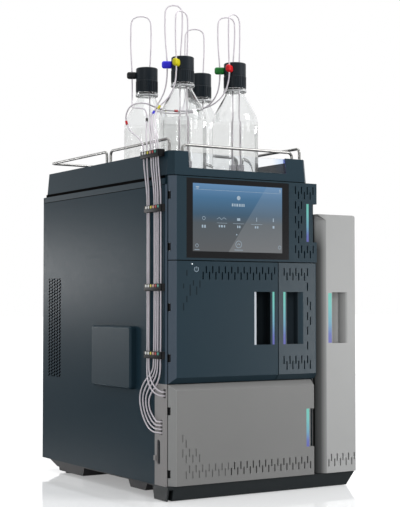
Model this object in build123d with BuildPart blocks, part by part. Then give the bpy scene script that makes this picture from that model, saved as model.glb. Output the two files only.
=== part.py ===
from build123d import *
import os
from math import cos, radians, sin, tan

# A bench-top liquid chromatograph: a stack of instrument bays behind five doors, with a narrow
# column compartment on the right and a tray of four solvent bottles on top.
# Lengths are in millimetres. Sizes are read from the left side, from the front face and up from
# the bench, and spot() turns them into the part's own frame, whose origin is the middle of the base.

# Overall
body_width = 375.0
module_gap = 2.0
module_width = 107.0
body_depth = 598.0
rear_plate = 3.0
rear_flange = 3.0
cover_proud = 14.0
x_mid = (body_width + module_gap + module_width - cover_proud) / 2
y_mid = (body_depth + rear_plate + rear_flange) / 2

# Levels
base_top = 30.0
door_gap = 2.0
pump_top = 236.0
main_top = 488.5
panel_top = 645.0
lid_top = 658.0
tray_base = 665.0
module_top = 597.0

# Panels and bays
panel = 3.5
liner = 2.5
bay_front = 24.0
bay_depth = 276.0
door_depth = 18.0
door_face = 4.0
door_wall = 3.0
door_left = 5.0
door_chamfer = 12.0
split_x = 270.6
flange = 3.0

# Hinges: the pins stand in barrels on the frame, and the doors turn on them
pin_radius = 1.3
pin_half = 16.0
pin_clearance = 0.05
barrel_radius = 2.4
barrel_half = 7.8
notch_half = 8.2
arm_half = 2.5
left_axis = (door_left + 3.5, 12.5)
right_inset = 5.5
screen_hinges = (517.0, 623.0)
main_hinges = (290.0, 393.5)
pump_hinges = (55.5, 182.5)
side_hinges = (275.0, 455.0)
column_hinges = (70.0, 550.0)

# Base and module
pan_left = 16.5
pan_right = 461.0
pan_rail = 4.0
plinth_right = 479.0
foot_radius = 12.0
kick_depth = 58.0
pump_right = 366.0
module_depth = 430.0
module_round = 10.0
glass_inset = 2.2
button_radius = 6.45

# Rear
fan_x = 120.0
fan_z = 520.0
fan_hole = 43.0
inlet_x = 300.0
inlet_z = 90.0

# Vents
slot_width = 3.0
slot_pitch = 7.86

# Handles
recess_depth = 13.0
light_depth = 2.0
light_inset = 0.2

# Tray, rails and bottles
tray_height = 50.0
tray_floor = 7.0
tray_left = 3.0
tray_right = 357.0
tray_wall = 3.5
tray_taper = 4.6
wire_radius = 3.0
boss_radius = 6.0
side_rail_z = 741.0
front_rail_z = 729.0
bottle_radius = 50.5
glass = 2.5
bottle_base = 1.0
shoulder_rise = 135.0
neck_rise = 54.0
neck_radius = 20.0
collar_radius = 25.0
collar_height = 12.0
ring_height = 28.0
cap_height = 28.0
run_gap = 0.3
line_radius = 1.6
tab_reach = 45.0
tab_half = 5.5
tab_height = 16.0
line_radius_from_axis = 33.0
bottle_spots = ((92.0, 255.0), (94.0, 103.0), (233.0, 252.0), (229.0, 103.0))
tab_bottles = (0, 1, 1, 2, 3, 3)
tab_angles = (150.0, 150.0, 215.0, 150.0, 150.0, 215.0)

# Line clips on the left side
clip_lanes = (27.3, 38.0, 45.8, 53.3, 76.0, 82.6)
tray_lanes = (38.7, 48.2, 58.2, 67.7, 85.0, 98.5)
clip_levels = (288.0, 427.0, 589.5)
clip_height = 15.0
clip_proud = 8.0
lane_x = -4.0

os.makedirs("parts", exist_ok=True)


def spot(x, y, z):
    return (x - x_mid, y - y_mid, z)


def middle(pair):
    return (pair[0] + pair[1]) / 2


def block(x, y, z, mode=Mode.ADD):
    """A block between low and high pairs, read from the left, the front and the bench."""
    with Locations(spot(middle(x), middle(y), middle(z))):
        Box(x[1] - x[0], y[1] - y[0], z[1] - z[0], mode=mode)


def post(x, y, z, radius, mode=Mode.ADD):
    """An upright round post or hole at x, y between two levels."""
    with Locations(spot(x, y, middle(z))):
        Cylinder(radius, z[1] - z[0], mode=mode)


def bar(x, y, z, radius, mode=Mode.ADD):
    """A round bar or hole that runs front to back, between the pair y."""
    with Locations(Location(spot(x, middle(y), z), (90, 0, 0))):
        Cylinder(radius, y[1] - y[0], mode=mode)


def plan_prism(points, z, mode=Mode.ADD):
    """An outline seen from above, as x, y points, extruded between two levels."""
    with BuildSketch(Plane.XY.offset(z[0])) as outline:
        with BuildLine():
            Polyline(*[(x - x_mid, y - y_mid) for x, y in points], close=True)
        make_face()
    extrude(outline.sketch, amount=z[1] - z[0], mode=mode)


def side_prism(points, x, mode=Mode.ADD):
    """An outline seen from the side, as y, z points, extruded between two widths."""
    with BuildSketch(Plane.YZ.offset(x[0] - x_mid)) as outline:
        with BuildLine():
            Polyline(*[(y - y_mid, z) for y, z in points], close=True)
        make_face()
    extrude(outline.sketch, amount=x[1] - x[0], mode=mode)


def slots(places, depth, mode=Mode.SUBTRACT):
    """Upright vent slots through a front face, as x, low z, high z."""
    for low, high in sorted({(low, high) for x, low, high in places}):
        row = [spot(x, depth / 2 - 1, middle((low, high))) for x, a, b in places if (a, b) == (low, high)]
        with Locations(*row):
            Box(slot_width, depth + 2, high - low, mode=mode)


def finish(builder, label):
    builder.part.label = label
    export_step(builder.part, f"parts/{label}.step")
    print(label, round(builder.part.volume))


def left_hinge_cuts(levels):
    """Notches for the frame's barrels and bores for the pins, in a door hinged on the left."""
    x, y = left_axis
    for z in levels:
        block((x - 5.5, x + arm_half + 0.6), (y - 3.9, door_depth + 1), (z - notch_half, z + notch_half),
              Mode.SUBTRACT)
        post(x, y, (z - pin_half - run_gap, z + pin_half + run_gap), pin_radius + pin_clearance,
             Mode.SUBTRACT)


def right_hinge_cuts(edge, levels):
    """The same for a door hinged on the right, whose right edge is given."""
    x = edge - right_inset
    y = right_inset
    for z in levels:
        block((x - arm_half - 0.6, edge + 1), (y - 3.3, door_depth + 1), (z - notch_half, z + notch_half),
              Mode.SUBTRACT)
        post(x, y, (z - pin_half - run_gap, z + pin_half + run_gap), pin_radius + pin_clearance,
             Mode.SUBTRACT)


def ramp_recess(deep_x, shallow_x, z):
    """A finger recess that is square at its deep side and rises in a round ramp at the other."""
    ramp = (shallow_x - deep_x) * 0.35
    with BuildSketch(Plane.XY.offset(z[0])) as hollow:
        with BuildLine():
            wall = Polyline((shallow_x - x_mid, -y_mid), (shallow_x - x_mid, -1 - y_mid),
                            (deep_x - x_mid, -1 - y_mid), (deep_x - x_mid, recess_depth - y_mid),
                            (shallow_x - ramp - x_mid, recess_depth - y_mid))
            RadiusArc(wall @ 1, wall @ 0, 22 * (1 if shallow_x < deep_x else -1))
        make_face()
    extrude(hollow.sketch, amount=z[1] - z[0], mode=Mode.SUBTRACT)


# Base: a folded pan with two cross rails, a dark plinth round its front, and four feet
with BuildPart() as base_pan:
    side_prism([(22, base_top), (body_depth, base_top), (body_depth, 27), (552, 12), (543, 12),
                (540, pan_rail), (418, pan_rail), (410, 23), (200, 23), (190, 8), (126, 8),
                (118, 23), (22, 23)], (pan_left, pan_right))
finish(base_pan, "base_pan")

with BuildPart() as base_plinth:
    side_prism([(3, base_top), (10, 1), (22, 1), (22, base_top)], (0, plinth_right))
    side_prism([(22, 1), (60, 1), (67, base_top), (22, base_top)], (0, pan_left))
    block((3, 13), (-1, 30), (0, 24), Mode.SUBTRACT)
    with BuildSketch(Plane.XZ.offset(y_mid)) as slant:
        with BuildLine():
            Polyline((plinth_right - x_mid, base_top), (plinth_right - 18 - x_mid, 0),
                     (plinth_right + 1 - x_mid, 0), close=True)
        make_face()
    extrude(slant.sketch, amount=-40, mode=Mode.SUBTRACT)
finish(base_plinth, "base_plinth")

with BuildPart() as feet:
    for x in (34, pan_right - 18):
        post(x, 95, (0, 23), foot_radius)
        post(x, 515, (0, pan_rail), foot_radius)
finish(feet, "feet")

# Side, rear and top panels
with BuildPart() as left_side_panel:
    plan_prism([(0, 17), (panel, 17 - panel), (panel, body_depth), (0, body_depth)],
               (base_top, panel_top))
    block((-1, panel + 1), (0, kick_depth), (base_top - 1, pump_top + 1), Mode.SUBTRACT)
    with Locations(*[spot(panel / 2, 508 + 14.2 * column, 231 + 7.4 * row + 3 * (column % 2))
                     for column in range(5) for row in range(31)]):
        Box(panel + 1, 9, 2.6, rotation=(-35, 0, 0), mode=Mode.SUBTRACT)
finish(left_side_panel, "left_side_panel")

with BuildPart() as lower_side_panel:
    plan_prism([(0, 17), (panel, 17 - panel), (panel, kick_depth), (0, kick_depth)],
               (base_top, pump_top + 1))
    block((-1, panel + 1), (16, 24), (209, 227), Mode.SUBTRACT)
    block((-1, panel + 1), (27, 35), (134, 164), Mode.SUBTRACT)
    with BuildSketch(Plane.YZ.offset(-1 - x_mid)):
        with Locations((42.5 - y_mid, 97.5)):
            SlotOverall(51, 13, rotation=90)
    extrude(amount=panel + 2, mode=Mode.SUBTRACT)
    block((-3, 0), (50, kick_depth), (80, 90))
finish(lower_side_panel, "lower_side_panel")

with BuildPart() as side_cover:
    block((-cover_proud, 0), (138, 318), (220, 353))
    fillet(side_cover.edges().filter_by(Axis.X), 8)
    fillet(side_cover.faces().sort_by(Axis.X)[0].edges(), 5)
    block((-cover_proud + 2.5, 1), (146, 310), (228, 345), Mode.SUBTRACT)
finish(side_cover, "side_cover")

with BuildPart() as right_side_panel:
    block((body_width - panel, body_width), (20, body_depth), (base_top, panel_top))
finish(right_side_panel, "right_side_panel")

with BuildPart() as rear_panel:
    block((0, body_width), (body_depth, body_depth + rear_plate), (base_top, lid_top))
    grille = [(z, (fan_hole ** 2 - (z - fan_z) ** 2) ** 0.5) for z in
              [fan_z - 36 + 9 * step for step in range(9)]]
    for z, half in grille:
        block((fan_x - half, fan_x + half), (body_depth - 1, body_depth + rear_plate + 1),
              (z - 2.5, z + 2.5), Mode.SUBTRACT)
    with Locations(*[spot(110 + 10 * step, body_depth, 130) for step in range(20)]):
        Box(4, 12, 60, mode=Mode.SUBTRACT)
    block((inlet_x - 15, inlet_x + 15), (body_depth - 1, body_depth + rear_plate + 1),
          (inlet_z - 11, inlet_z + 11), Mode.SUBTRACT)
finish(rear_panel, "rear_panel")

with BuildPart() as top_cover:
    block((0, body_width), (21, body_depth), (panel_top, lid_top))
    fillet(top_cover.edges().filter_by(Axis.Z), 3)
    block((6, tray_right + 6), (27, body_depth - 6), (lid_top, tray_base))
    block((panel, body_width - panel), (bay_front, body_depth - 3), (panel_top - 1, lid_top - 2.5),
          Mode.SUBTRACT)
finish(top_cover, "top_cover")


# Instrument bays: open-fronted liners between the side panels
def liner_shell(x, z, depth=bay_depth):
    block(x, (bay_front, bay_front + depth), z)
    block((x[0] + liner, x[1] - liner), (bay_front - 1, bay_front + depth - liner),
          (z[0] + liner, z[1] - liner), Mode.SUBTRACT)


inner_left = panel
inner_right = body_width - panel

with BuildPart() as pump_bay:
    liner_shell((inner_left, inner_right), (base_top, pump_top + 1))
finish(pump_bay, "pump_bay")

with BuildPart() as sample_bay:
    liner_shell((inner_left, split_x + 1), (pump_top + 1, main_top + 1))
finish(sample_bay, "sample_bay")

with BuildPart() as valve_bay:
    liner_shell((split_x + 1, inner_right), (pump_top + 1, main_top + 1))
finish(valve_bay, "valve_bay")

with BuildPart() as detector_bay:
    liner_shell((inner_left, inner_right), (main_top + 1, panel_top))
finish(detector_bay, "detector_bay")

module_left = body_width
module_right = body_width + module_gap + module_width

with BuildPart() as column_housing:
    block((module_left, module_right), (20, module_depth), (base_top, module_top))
    fillet(column_housing.edges().filter_by(Axis.Y).group_by(Axis.X)[-1].sort_by(Axis.Z)[-1:], module_round)
    block((module_left + panel, module_right - panel), (19, module_depth - panel),
          (base_top + panel, module_top - panel - module_round / 2), Mode.SUBTRACT)
finish(column_housing, "column_housing")

# Hinge brackets seated on the panels and the bays' front edges, and the pins they carry
doors_on_left = screen_hinges + main_hinges + pump_hinges
side_axis_x = body_width - right_inset
column_axis_x = module_right - right_inset
pin_places = [(left_axis[0], left_axis[1], z) for z in doors_on_left]
pin_places += [(side_axis_x, right_inset, z) for z in side_hinges]
pin_places += [(column_axis_x, right_inset, z) for z in column_hinges]

with BuildPart() as hinge_brackets:
    for x, y, z in pin_places:
        post(x, y, (z - barrel_half, z + barrel_half), barrel_radius)
        outer = arm_half if x == left_axis[0] else right_inset - panel
        block((x - arm_half, x + outer), (y, bay_front), (z - barrel_half, z + barrel_half))
    for x, y, z in pin_places:
        post(x, y, (z - notch_half, z + notch_half), pin_radius + 0.02, Mode.SUBTRACT)
    for z in doors_on_left:
        block((panel, left_axis[0] + arm_half), (bay_front - flange, bay_front),
              (z - barrel_half, z + barrel_half))
    for z in side_hinges:
        block((side_axis_x - 4, inner_right), (bay_front - flange, bay_front),
              (z - barrel_half, z + barrel_half))
    for z in column_hinges:
        block((column_axis_x - 6, module_right - panel), (bay_front - flange, bay_front + 4),
              (z - barrel_half, z + barrel_half))
finish(hinge_brackets, "hinge_brackets")

with BuildPart() as hinge_pins:
    for x, y, z in pin_places:
        post(x, y, (z - pin_half, z + pin_half), pin_radius)
finish(hinge_pins, "hinge_pins")


# Doors: moulded shells, open behind, with chamfered edges where the stack shows a facet
def door_blank(x, z):
    block(x, (0, door_depth), z)


def chamfer_left(z):
    plan_prism([(door_left - 1, -1), (door_left + door_chamfer + 1, -1), (door_left - 1, door_chamfer + 1)],
               (z[0] - 1, z[1] + 1), Mode.SUBTRACT)


def chamfer_low(x, z):
    side_prism([(-1, z - 1), (door_chamfer + 1, z - 1), (-1, z + door_chamfer + 1)],
               (x[0] - 1, x[1] + 1), Mode.SUBTRACT)


def chamfer_high(x, z):
    side_prism([(-1, z + 1), (door_chamfer + 1, z + 1), (-1, z - door_chamfer - 1)],
               (x[0] - 1, x[1] + 1), Mode.SUBTRACT)


def light_groove(x, z):
    block(x, (-1, light_depth), z, Mode.SUBTRACT)


def light_strip(x, z):
    block(x, (light_inset, light_depth), z)


def right_knuckle(edge, z):
    """Rounds the front edge on the hinge axis, so that the door clears its neighbour as it turns."""
    x = edge - right_inset
    with BuildSketch(Plane.XY.offset(z[0] - 1)) as corner:
        with BuildLine():
            Polyline((x - x_mid, -y_mid - 1), (edge + 1 - x_mid, -y_mid - 1),
                     (edge + 1 - x_mid, right_inset - y_mid), (edge - x_mid, right_inset - y_mid))
            CenterArc((x - x_mid, right_inset - y_mid), right_inset, 0, -90)
            Line((x - x_mid, -y_mid), (x - x_mid, -y_mid - 1))
        make_face()
    extrude(corner.sketch, amount=z[1] - z[0] + 2, mode=Mode.SUBTRACT)


screen_z = (main_top + door_gap, lid_top + 5)
screen_x = (door_left, body_width)
glass_x = (41.0, 300.0)
glass_z = (495.0, 660.0)
screen_light = ((347.2, 353.2), (535.4, 617.8))
screen_notch = ((362.0, body_width + 1), (534.5, 618.0))

with BuildPart() as screen_door:
    door_blank(screen_x, screen_z)
    block((19, body_width - door_wall), (door_face, door_depth + 1),
          (screen_z[0] + door_wall, screen_z[1] - door_wall), Mode.SUBTRACT)
    chamfer_left(screen_z)
    block((358, body_width), (1, door_depth), (screen_notch[1][0] - door_wall, screen_notch[1][1] + door_wall))
    block(screen_notch[0], (-1, recess_depth), screen_notch[1], Mode.SUBTRACT)
    light_groove(*screen_light)
    block(glass_x, (-1, glass_inset), glass_z, Mode.SUBTRACT)
    upper_columns = (317.8, 334.0, 349.6, 365.3)
    lower_columns = (326.0, 341.8, 357.5)
    places = [(x, 655 - 16.5 - 128 * end, 655 - 128 * end) for x in upper_columns for end in (0, 1)]
    places += [(x, 644 - 16.5 - 128 * end, 644 - 128 * end) for x in lower_columns for end in (0, 1)]
    places += [(x, 655 - 16.5 - 32 * row, 655 - 32 * row) for x in upper_columns[:2] for row in (1, 2, 3)]
    places += [(x, 644 - 16.5 - 32 * row, 644 - 32 * row) for x in lower_columns[:1] for row in (1, 2, 3)]
    slots(places, door_face)
    left_hinge_cuts(screen_hinges)
finish(screen_door, "screen_door")

with BuildPart() as display_glass:
    block(glass_x, (light_inset, glass_inset), glass_z)
finish(display_glass, "display_glass")

with BuildPart() as screen_light_bar:
    light_strip(*screen_light)
finish(screen_light_bar, "screen_light_bar")

main_x = (door_left, split_x)
main_z = (pump_top + door_gap, main_top)
main_recess = (209.0, 251.0)
handle_z = (314.0, 426.0)
main_light = ((256.2, 261.3), handle_z)
button_spot = (65.2, 471.8)

with BuildPart() as main_door:
    door_blank(main_x, main_z)
    block((19, split_x - door_wall), (door_face, door_depth + 1),
          (main_z[0] + 16, main_top - door_wall), Mode.SUBTRACT)
    chamfer_left(main_z)
    chamfer_low(main_x, main_z[0])
    block((main_recess[0] - door_wall, main_recess[1] + door_wall), (1, door_depth),
          (handle_z[0] - door_wall, handle_z[1] + door_wall))
    ramp_recess(main_recess[1], main_recess[0], handle_z)
    light_groove(*main_light)
    slots([(81.3 + slot_pitch * i, 451 + 12.9 * (i % 2), 467 + 11.5 * (i % 2)) for i in range(24)], door_face)
    bar(button_spot[0], (-1, door_face + 1), button_spot[1], button_radius + run_gap, Mode.SUBTRACT)
    left_hinge_cuts(main_hinges)
finish(main_door, "main_door")

with BuildPart() as main_light_bar:
    light_strip(*main_light)
finish(main_light_bar, "main_light_bar")

with BuildPart() as power_button:
    bar(button_spot[0], (0.3, door_face + run_gap + 3), button_spot[1], button_radius)
    fillet(power_button.edges().group_by(Axis.Y)[0], 0.8)
    bar(button_spot[0], (door_face + run_gap, door_face + run_gap + 2), button_spot[1], button_radius + 2)
finish(power_button, "power_button")

side_x = (split_x + door_gap, body_width)
side_recess = (293.4, 337.5)
side_light = ((284.6, 290.4), handle_z)

with BuildPart() as side_door:
    door_blank(side_x, main_z)
    block((side_x[0] + door_wall, body_width - 14), (door_face, door_depth + 1),
          (main_z[0] + 16, main_top - door_wall), Mode.SUBTRACT)
    chamfer_low(side_x, main_z[0])
    right_knuckle(body_width, main_z)
    block((side_recess[0] - door_wall, side_recess[1] + door_wall), (1, door_depth),
          (handle_z[0] - door_wall, handle_z[1] + door_wall))
    ramp_recess(side_recess[0], side_recess[1], handle_z)
    light_groove(*side_light)
    places = [(287.0 + 15.6 * i, 461.0, 477.5) for i in range(5)]
    places += [(294.7 + 15.6 * i, 451.0, 467.7) for i in range(4)]
    places += [(286.3 + 15.7 * i, 271.2, 288.6) for i in range(5)]
    places += [(294.0 + 15.6 * i, 259.4, 278.0) for i in range(5)]
    places += [(349.3, 301.5 + 31.9 * i, 319.0 + 31.9 * i) for i in range(5)]
    places += [(357.0, 355.0 + 32.0 * i, 372.8 + 32.0 * i) for i in range(2)]
    slots(places, door_face)
    right_hinge_cuts(body_width, side_hinges)
finish(side_door, "side_door")

with BuildPart() as side_light_bar:
    light_strip(*side_light)
finish(side_light_bar, "side_light_bar")

pump_x = (door_left, pump_right)
pump_z = (base_top + 1, pump_top)
pump_notch = ((pump_right - 10, pump_right + 1), (91.7, 173.7))
pump_light = ((345.4, 353.3), (92.0, 173.7))

with BuildPart() as pump_door:
    door_blank(pump_x, pump_z)
    block((19, pump_right - door_wall), (door_face, door_depth + 1), (pump_z[0] + door_wall, pump_top - 16),
          Mode.SUBTRACT)
    chamfer_left(pump_z)
    chamfer_high(pump_x, pump_top)
    block((pump_right - 13, pump_right), (1, door_depth), (pump_notch[1][0] - door_wall,
          pump_notch[1][1] + door_wall))
    block(pump_notch[0], (-1, recess_depth), pump_notch[1], Mode.SUBTRACT)
    light_groove(*pump_light)
    columns = [(40.2 + 7.9 * i, 44.7 + 11.5 * (i % 2), 59.9 + 11.5 * (i % 2)) for i in range(41)]
    slots([place for place in columns if place[0] > 150], door_face)
    slots([place for place in columns if place[0] < 150], 1.2)
    slots([(32 + 16 * i, 88.8, 105.2) for i in range(3)] + [(40 + 16 * i, 76.5, 92.5) for i in range(3)]
          + [(32, 118.7, 134.6), (40, 107.5, 123.5)], 1.2)
    left_hinge_cuts(pump_hinges)
finish(pump_door, "pump_door")

with BuildPart() as pump_light_bar:
    light_strip(*pump_light)
finish(pump_light_bar, "pump_light_bar")

column_x = (body_width + module_gap, module_right)
column_z = (base_top + 1, module_top)
column_recess = (416.9, 459.3)
column_light = ((406.0, 415.7), (315.0, 424.0))
bevel_x = 400.8
bevel_y = 11.0

with BuildPart() as column_door:
    door_blank(column_x, column_z)
    fillet(column_door.edges().filter_by(Axis.Y).group_by(Axis.X)[-1].sort_by(Axis.Z)[-1:], module_round)
    block((column_x[0] + door_wall, module_right - 14), (bevel_y + door_wall, door_depth + 1),
          (column_z[0] + door_wall, module_top - 12), Mode.SUBTRACT)
    block((bevel_x + 2, module_right - 14), (door_face, door_depth + 1),
          (column_z[0] + door_wall, module_top - 12), Mode.SUBTRACT)
    with BuildSketch(Plane.XZ.offset(y_mid + 1)) as facet:
        with BuildLine():
            Polyline((column_x[0] - 1 - x_mid, column_z[0] - 1), (bevel_x + 2.2 - x_mid, column_z[0] - 1),
                     (bevel_x + 2.2 - x_mid, module_top - 14), (column_x[0] - 1 - x_mid, module_top),
                     close=True)
        make_face()
    wedge_plan = [(column_x[0] - 1, -1), (bevel_x + 2.2, -1), (column_x[0] - 1, bevel_y + 0.5)]
    wedge = extrude(facet.sketch, amount=-bevel_y - 2, mode=Mode.PRIVATE)
    with BuildSketch(Plane.XY.offset(0)) as wedge_outline:
        with BuildLine():
            Polyline(*[(x - x_mid, y - y_mid) for x, y in wedge_plan], close=True)
        make_face()
    wedge = wedge & extrude(wedge_outline.sketch, amount=module_top + 10, mode=Mode.PRIVATE)
    add(wedge, mode=Mode.SUBTRACT)
    right_knuckle(module_right, column_z)
    block((column_recess[0] - door_wall, column_recess[1] + door_wall), (1, door_depth),
          (handle_z[0] - door_wall, handle_z[1] + door_wall))
    ramp_recess(column_recess[0], column_recess[1], handle_z)
    light_groove(*column_light)
    slots([(406.4 + 15.9 * i, 45.0, 61.5) for i in range(5)] + [(413.5 + 15.9 * i, 56.0, 72.0)
          for i in range(5)], door_face)
    right_hinge_cuts(module_right, column_hinges)
finish(column_door, "column_door")

with BuildPart() as column_light_bar:
    light_strip(*column_light)
finish(column_light_bar, "column_light_bar")

# Bottle tray, its clear window and the wire rails that stand in its bosses
tray_rim = tray_base + tray_height
window_x = (50.0, 296.0)
sill = tray_base + 16
front_slope = tan(radians(tray_taper))


def tray_front(z):
    """How far the tapered front wall stands back at a level."""
    return 3 + (z - tray_base) * front_slope


rail_left = 14.0
rail_right = 346.0
rail_ends = (24.0, 280.0, 298.0, 585.0)
front_rail = (39.0, 318.0, 14.0)
rail_feet = [(x, y) for x in (rail_left, rail_right) for y in rail_ends[:3]]
rail_feet += [(x, front_rail[2]) for x in front_rail[:2]]

with BuildPart() as bottle_tray:
    with BuildSketch(Plane.XY.offset(tray_base)):
        with Locations(spot((tray_left + tray_right) / 2, (3 + body_depth) / 2, 0)[:2]):
            Rectangle(tray_right - tray_left, body_depth - 3)
        chamfer(vertices(), 12)
    extrude(amount=tray_height, taper=tray_taper)
    with BuildSketch(Plane.XY.offset(tray_rim)):
        with Locations(spot((tray_left + tray_right) / 2, (3 + body_depth) / 2, 0)[:2]):
            inset = 2 * (tray_height * front_slope + tray_wall)
            Rectangle(tray_right - tray_left - inset, body_depth - 3 - inset)
        chamfer(vertices(), 11)
    extrude(amount=-(tray_height - tray_floor), taper=-tray_taper, mode=Mode.SUBTRACT)
    block(window_x, (-1, 16), (sill, tray_rim + 1), Mode.SUBTRACT)
    for x, y in rail_feet:
        post(x, y, (tray_base + tray_floor, tray_base + tray_floor + 16), boss_radius)
    for x, y in rail_feet:
        post(x, y, (tray_base + tray_floor, tray_rim), wire_radius + 0.02, Mode.SUBTRACT)
finish(bottle_tray, "bottle_tray")

with BuildPart() as tray_window:
    back = 3.0
    side_prism([(tray_front(sill), sill), (tray_front(sill) + back, sill),
                (tray_front(tray_rim - 2) + back, tray_rim - 2), (tray_front(tray_rim - 2), tray_rim - 2)],
               (window_x[0] + 0.2, window_x[1] - 0.2))
finish(tray_window, "tray_window")


def wire(points):
    """A round wire bent along its points with 10 mm bends."""
    with BuildLine() as path:
        FilletPolyline(*[spot(*point) for point in points], radius=10)
    with BuildSketch(Plane(origin=path.line @ 0, z_dir=path.line % 0)) as section:
        Circle(wire_radius)
    sweep(section.sketch, path=path.line)


wire_foot = tray_base + tray_floor
with BuildPart() as bottle_rails:
    for x in (rail_left, rail_right):
        wire([(x, rail_ends[0], wire_foot), (x, rail_ends[0], side_rail_z), (x, rail_ends[1], side_rail_z),
              (x, rail_ends[1], wire_foot)])
    wire([(front_rail[0], front_rail[2], wire_foot), (front_rail[0], front_rail[2], front_rail_z),
          (front_rail[1], front_rail[2], front_rail_z), (front_rail[1], front_rail[2], wire_foot)])
    wire([(rail_left, rail_ends[2], wire_foot), (rail_left, rail_ends[2], side_rail_z),
          (rail_left, rail_ends[3], side_rail_z), (rail_right, rail_ends[3], side_rail_z),
          (rail_right, rail_ends[2], side_rail_z), (rail_right, rail_ends[2], wire_foot)])
finish(bottle_rails, "bottle_rails")

# Combs that hold the solvent lines against the left side
with BuildPart() as line_clips:
    for low in clip_levels:
        block((-clip_proud, 0), (17, 88), (low, low + clip_height))
        for y in clip_lanes:
            block((-clip_proud - 1, lane_x + 2.2), (y - 2.0, y + 2.0), (low - 1, low + clip_height + 1),
                  Mode.SUBTRACT)
    tray_clip_low = tray_rim - 11
    block((-clip_proud, tray_left + 3), (29, 104), (tray_clip_low, tray_clip_low + clip_height))
    for y in tray_lanes:
        block((-clip_proud - 1, lane_x + 2.2), (y - 2.4, y + 2.4),
              (tray_clip_low - 1, tray_clip_low + clip_height + 1), Mode.SUBTRACT)
    block((tray_left + 2, tray_left + 12), (28, 105), (tray_clip_low - 1, tray_rim), Mode.SUBTRACT)
    block((tray_left - 1, tray_left + 9), (40, 93), (tray_rim, tray_clip_low + clip_height))
finish(line_clips, "line_clips")

# Bottles: blown glass with a pour ring, a screw ring round the neck and a fixed insert above it
bottle_seat = tray_base + tray_floor + bottle_base
shoulder_z = bottle_seat + shoulder_rise
neck_z = shoulder_z + neck_rise
collar_top = neck_z + collar_height
ring_top = collar_top + ring_height
cap_top = ring_top + cap_height
liquid_top = shoulder_z - 6


def turned(outline):
    """Revolves an outline, as radius and level, about the upright axis."""
    with BuildSketch(Plane.XZ) as half:
        with BuildLine():
            Polyline(*outline, close=True)
        make_face()
    revolve(half.sketch, axis=Axis.Z)


seat = bottle_seat - bottle_base
with BuildPart() as bottle_blank:
    turned([(0, seat), (bottle_radius - 4, seat), (bottle_radius, seat + 4), (bottle_radius, shoulder_z - 4),
            (bottle_radius - 1.6, shoulder_z + 2), (neck_radius + 1.5, neck_z - 1), (neck_radius, neck_z),
            (neck_radius, neck_z + 2),
            (collar_radius, neck_z + 3.5), (collar_radius, collar_top - 2), (collar_radius - 2, collar_top),
            (neck_radius, collar_top), (neck_radius, ring_top), (neck_radius - glass, ring_top),
            (neck_radius - glass, neck_z), (bottle_radius - glass - 1.6, shoulder_z + 1),
            (bottle_radius - glass, shoulder_z - 4), (bottle_radius - glass, seat + 6), (0, seat + 4)])

with BuildPart() as ring_blank:
    turned([(neck_radius + run_gap, collar_top + run_gap), (collar_radius - 0.8, collar_top + run_gap),
            (collar_radius, collar_top + 2), (collar_radius, ring_top - 2),
            (collar_radius - 0.8, ring_top - run_gap), (neck_radius + run_gap, ring_top - run_gap)])
    with PolarLocations(collar_radius, 30):
        with Locations((0, 0, middle((collar_top, ring_top)))):
            Box(1.6, 2.0, ring_height - 7, mode=Mode.SUBTRACT)

exits = {0: [(5.0, -4.0)], 1: [(-4.0, 4.0), (8.0, -5.0)], 2: [(5.0, -2.0)], 3: [(-3.0, 4.0), (8.0, -5.0)]}
exit_bore = line_radius + 0.6
with BuildPart() as bottles:
    for x, y in bottle_spots:
        add(bottle_blank.part.moved(Location(spot(x, y, 0))))
finish(bottles, "bottles")

for index, (x, y) in enumerate(bottle_spots):
    with BuildPart() as cap_ring:
        add(ring_blank.part.moved(Location(spot(x, y, 0))))
    finish(cap_ring, f"cap_ring_{index + 1}")

plug_low = ring_top - 14
with BuildPart() as cap_inserts:
    for index, (x, y) in enumerate(bottle_spots):
        with Locations(spot(x, y, 0)):
            with Locations((0, 0, middle((ring_top, cap_top)))):
                Cylinder(collar_radius - 0.5, cap_height)
            with Locations((0, 0, middle((plug_low, ring_top)))):
                Cylinder(neck_radius - glass - 0.2, ring_top - plug_low)
    fillet(cap_inserts.edges().group_by(Axis.Z)[-1], 2.5)
    for index, (x, y) in enumerate(bottle_spots):
        for dx, dy in exits[index]:
            post(x + dx, y + dy, (cap_top - 6.3, cap_top + 1), exit_bore, Mode.SUBTRACT)
finish(cap_inserts, "cap_inserts")

tab_z = (cap_top - 24, cap_top - 24 + tab_height)
with BuildPart() as line_tabs:
    for index, angle in zip(tab_bottles, tab_angles):
        with BuildSketch(Plane.XY.offset(tab_z[0])):
            with Locations(Location(spot(*bottle_spots[index], 0), (0, 0, angle))):
                with Locations(((tab_reach - tab_half) / 2, 0)):
                    Rectangle(tab_reach - tab_half, 2 * tab_half)
                with Locations((tab_reach - tab_half, 0)):
                    Circle(tab_half)
                Circle(collar_radius - 0.5, mode=Mode.SUBTRACT)
                with Locations((line_radius_from_axis, 0)):
                    Circle(line_radius + 0.7, mode=Mode.SUBTRACT)
        extrude(amount=tab_height)
finish(line_tabs, "line_tabs")

filter_radius = 6.0
filter_height = 26.0
filter_low = bottle_seat - bottle_base + 7.0
dip_places = [(x + dx, y + dy) for index, (x, y) in enumerate(bottle_spots) for dx, dy in exits[index]]

with BuildPart() as liquid:
    liquid_radius = bottle_radius - glass - 0.2
    turned([(0, seat + 4.3), (liquid_radius, seat + 6.3), (liquid_radius, liquid_top), (0, liquid_top)])

with BuildPart() as solvents:
    for x, y in bottle_spots:
        add(liquid.part.moved(Location(spot(x, y, 0))))
    for x, y in dip_places:
        post(x, y, (filter_low - 1, filter_low + filter_height), filter_radius + 0.2, Mode.SUBTRACT)
        post(x, y, (filter_low, liquid_top + 1), line_radius + 0.2, Mode.SUBTRACT)
finish(solvents, "solvents")

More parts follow.
